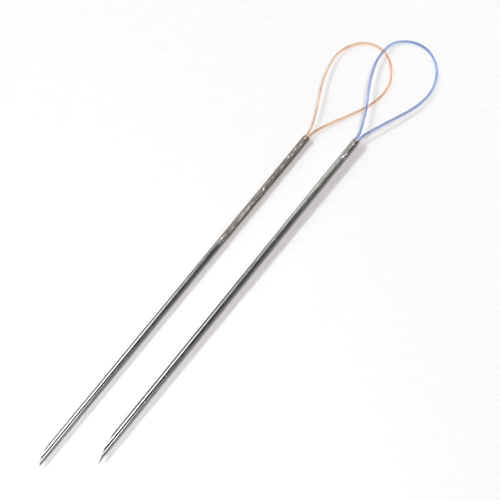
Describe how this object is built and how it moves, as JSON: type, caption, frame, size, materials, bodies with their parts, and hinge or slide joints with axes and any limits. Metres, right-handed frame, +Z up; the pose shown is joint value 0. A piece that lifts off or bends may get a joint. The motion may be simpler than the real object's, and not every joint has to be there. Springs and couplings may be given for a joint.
{
  "type": "snag repair needle",
  "caption": "Slim steel snag repair needles with bevel points, smooth or roughened towards the tail, each with a springy nylon loop staked into its drilled end.",
  "frame": {"origin": "on the table, in the middle of the box round the two steel shafts", "axes": "+X along the shafts from the points to the loops, +Y from the smooth needle to the rough one, +Z up"},
  "size_m": [0.0848, 0.0153, 0.0016],
  "materials": {
    "roughened_steel": "drawn steel, polished in front and roughened with fine burrs over the last third",
    "polished_steel": "drawn and polished steel with fine lengthwise streaks",
    "orange_nylon": "clear orange monofilament, glossy",
    "blue_nylon": "clear blue monofilament, glossy"
  },
  "bodies": {
    "rough_needle": {"rough_shaft": "roughened_steel"},
    "orange_loop": {"orange_filament": "orange_nylon"},
    "smooth_needle": {"smooth_shaft": "polished_steel"},
    "blue_loop": {"blue_filament": "blue_nylon"}
  },
  "joints": [
    {"name": "smooth_needle_lift", "type": "slide", "parent": "rough_needle", "child": "smooth_needle", "axis": [0, 0, 1], "range_m": [0, 0.03]},
    {"name": "orange_loop_swing", "type": "hinge", "parent": "rough_needle", "child": "orange_loop", "pos_m": [0.02892, 0.00313, 0.00052], "axis": [0, 0, 1], "range_deg": [0, 50], "stiffness_Nm_per_rad": 0.00005, "deforming": ["orange_filament"]},
    {"name": "blue_loop_swing", "type": "hinge", "parent": "smooth_needle", "child": "blue_loop", "pos_m": [0.03307, -0.0031, 0.00107], "axis": [0, 0, 1], "range_deg": [-50, 0], "stiffness_Nm_per_rad": 0.00005, "deforming": ["blue_filament"]}
  ]
}
